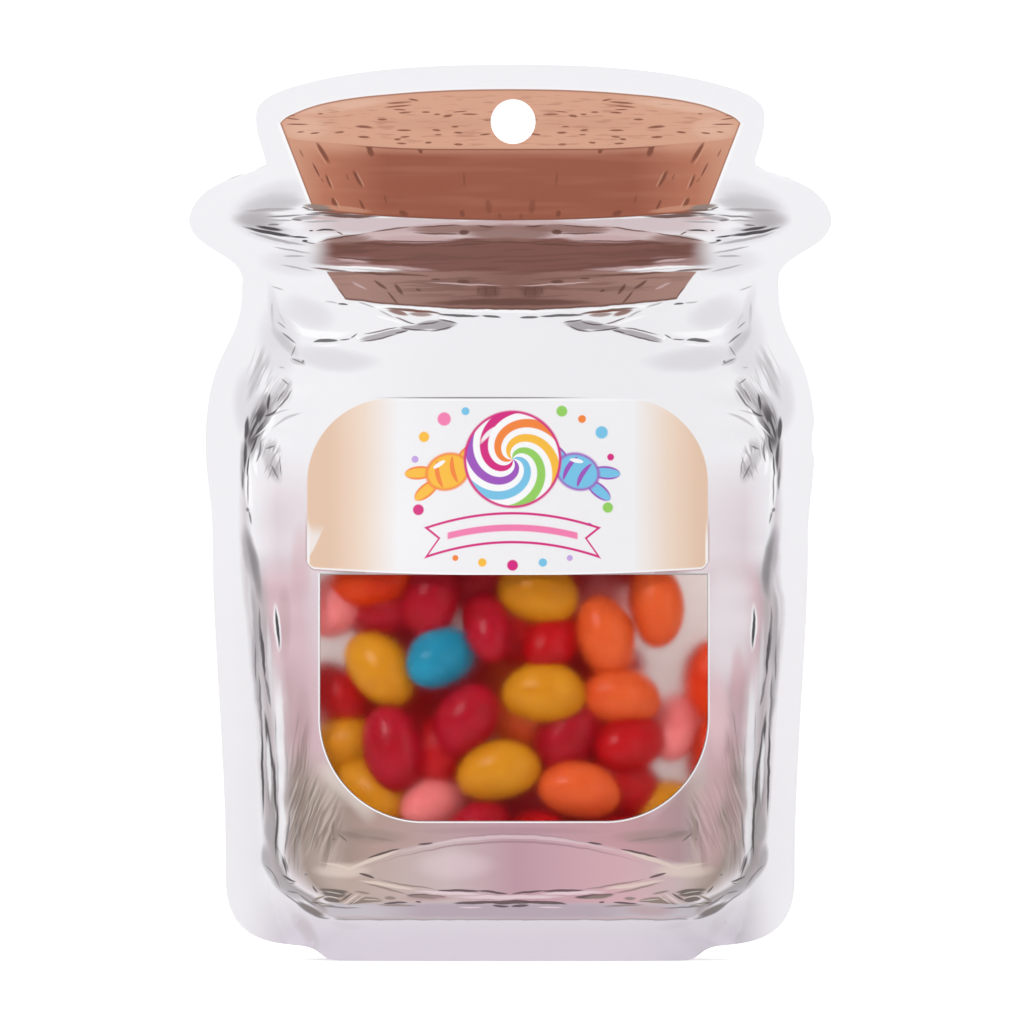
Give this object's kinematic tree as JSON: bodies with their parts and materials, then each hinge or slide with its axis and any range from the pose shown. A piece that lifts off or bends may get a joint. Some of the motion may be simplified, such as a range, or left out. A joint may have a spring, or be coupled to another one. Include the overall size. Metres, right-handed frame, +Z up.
{
  "type": "jar-shaped stand-up pouch of jelly beans",
  "caption": "Stand-up candy pouch die-cut and printed like a corked glass jar, with a hang hole and a clear window that shows the jelly beans inside.",
  "frame": {"origin": "middle of the foot, on the surface the pouch stands on", "axes": "+Z up, the window and label face -Y, +X to the right seen from the front"},
  "size_m": [0.115, 0.0404, 0.16],
  "materials": {
    "printed_film": "glossy printed film",
    "clear_film": "clear film, slightly hazy",
    "candy": "polished sugar shell in mixed colours"
  },
  "bodies": {
    "root": {"pouch": "printed_film", "window_film": "clear_film", "jelly_beans": "candy"}
  },
  "joints": []
}
